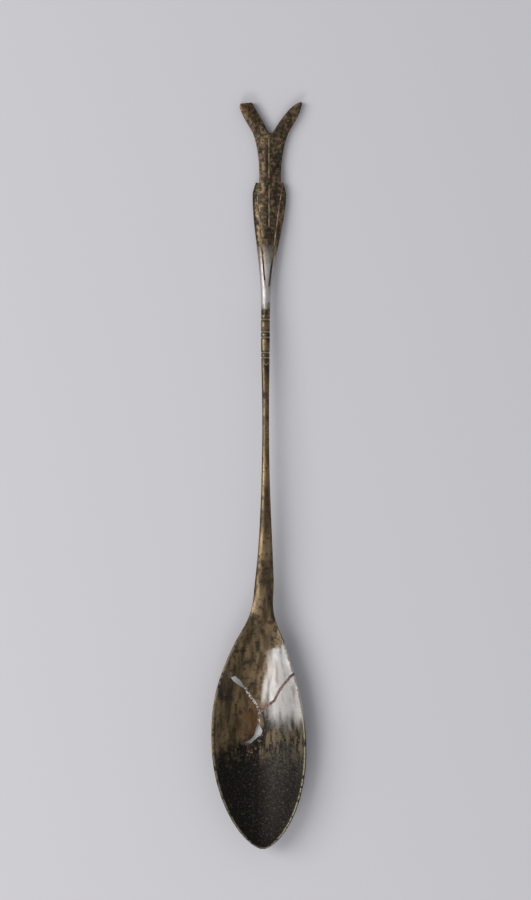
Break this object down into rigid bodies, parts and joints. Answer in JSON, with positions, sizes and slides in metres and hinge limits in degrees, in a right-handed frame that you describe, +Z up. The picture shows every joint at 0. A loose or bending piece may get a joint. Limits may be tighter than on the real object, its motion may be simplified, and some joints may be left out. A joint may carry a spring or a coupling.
{
  "type": "spoon",
  "caption": "Long-handled ancient silver spoon with a mended leaf-shaped bowl, banded shank and forked finial.",
  "frame": {"origin": "middle of the flat under the bowl's belly, on the surface that the spoon lies on", "axes": "+Z up out of the bowl's mouth, +Y from the bowl to the fork, +X to the right seen from above"},
  "size_m": [0.0317, 0.2498, 0.0092],
  "materials": {
    "brown_silver": "tarnished",
    "black_silver": "tarnished",
    "mend": "matte",
    "solder": "corroded"
  },
  "bodies": {
    "root": {"bowl_upper": "brown_silver", "bowl_left": "brown_silver", "bowl_lower": "black_silver", "seam_left": "mend", "seam_centre": "mend", "seam_right": "mend", "seam_lower": "mend", "scarf_solder": "solder", "shank": "brown_silver", "finial_solder": "solder", "finial": "brown_silver"}
  },
  "joints": []
}
